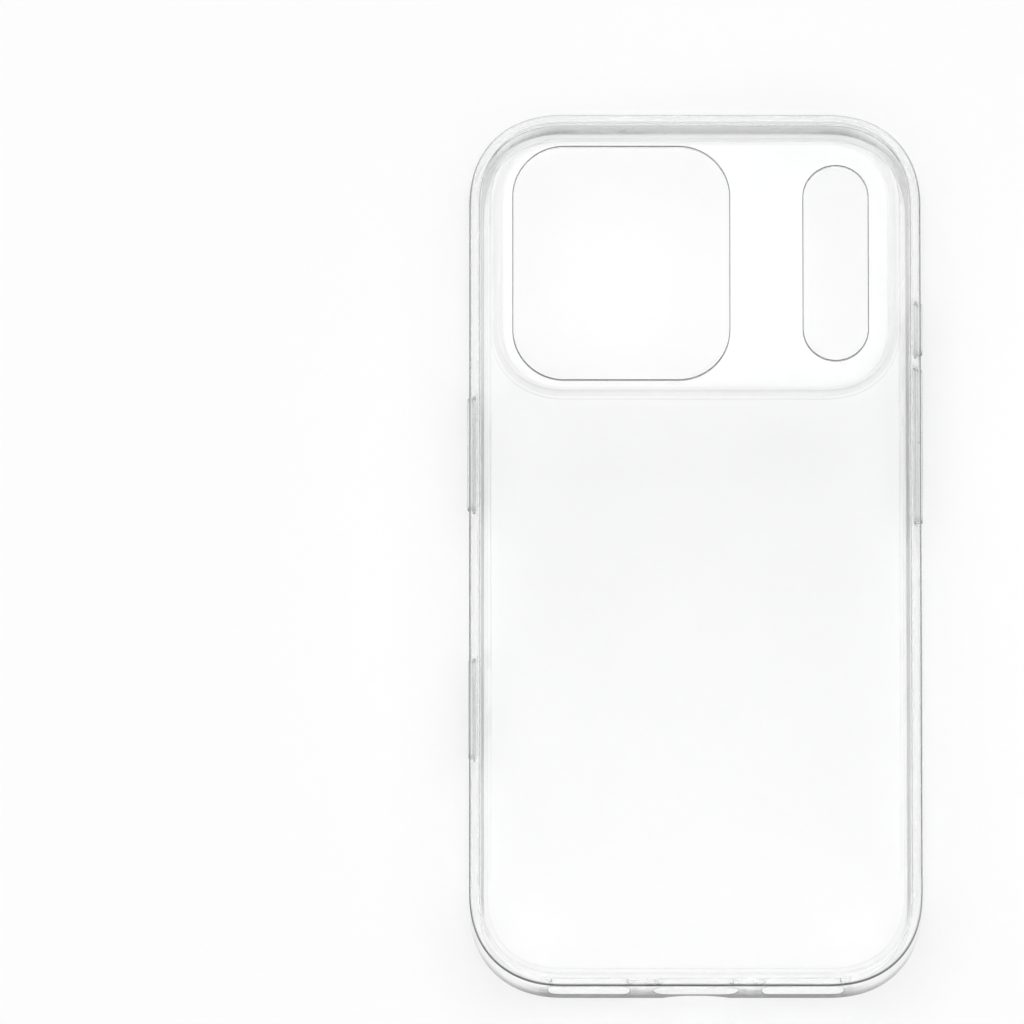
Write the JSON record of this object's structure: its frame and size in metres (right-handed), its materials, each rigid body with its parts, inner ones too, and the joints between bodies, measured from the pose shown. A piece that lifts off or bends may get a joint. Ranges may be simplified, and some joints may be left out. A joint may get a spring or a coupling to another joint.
{
  "type": "phone case",
  "caption": "Clear push-on phone case with a raised camera plateau, lens and sensor openings, sprung covers over the side buttons and charging-end openings.",
  "frame": {"origin": "middle of the plane that the front rim rests on, under the middle of the case's box", "axes": "+Z out of the back, away from the phone's screen; +Y towards the camera end; +X towards the side with the action and volume buttons, on the right seen from behind"},
  "size_m": [0.0756, 0.1482, 0.0126],
  "materials": {
    "soft_clear": "clear soft TPU, glossy, faint flow ripple and rub marks",
    "hard_clear": "clear hard polycarbonate, polished, hairline scratches",
    "cover_clear": "clear hard polycarbonate caps, glossy"
  },
  "bodies": {
    "case": {"bumper_frame": "soft_clear", "back_panel": "hard_clear"},
    "action_button": {"action_button_cover": "cover_clear"},
    "volume_button": {"volume_button_cover": "cover_clear"},
    "power_button": {"power_button_cover": "cover_clear"},
    "camera_control": {"camera_control_cover": "cover_clear"}
  },
  "joints": [
    {"name": "action_press", "type": "slide", "parent": "case", "child": "action_button", "axis": [-1, 0, 0], "range_m": [0, 0.00035], "stiffness_N_per_m": 1500},
    {"name": "volume_rock", "type": "hinge", "parent": "case", "child": "volume_button", "pos_m": [0.03625, 0.0184, 0.0053], "axis": [0, 0, 1], "range_deg": [-1.2, 1.2], "stiffness_Nm_per_rad": 0.5},
    {"name": "power_press", "type": "slide", "parent": "case", "child": "power_button", "axis": [1, 0, 0], "range_m": [0, 0.00035], "stiffness_N_per_m": 1500},
    {"name": "camera_control_press", "type": "slide", "parent": "case", "child": "camera_control", "axis": [1, 0, 0], "range_m": [0, 0.0002], "stiffness_N_per_m": 1500}
  ]
}
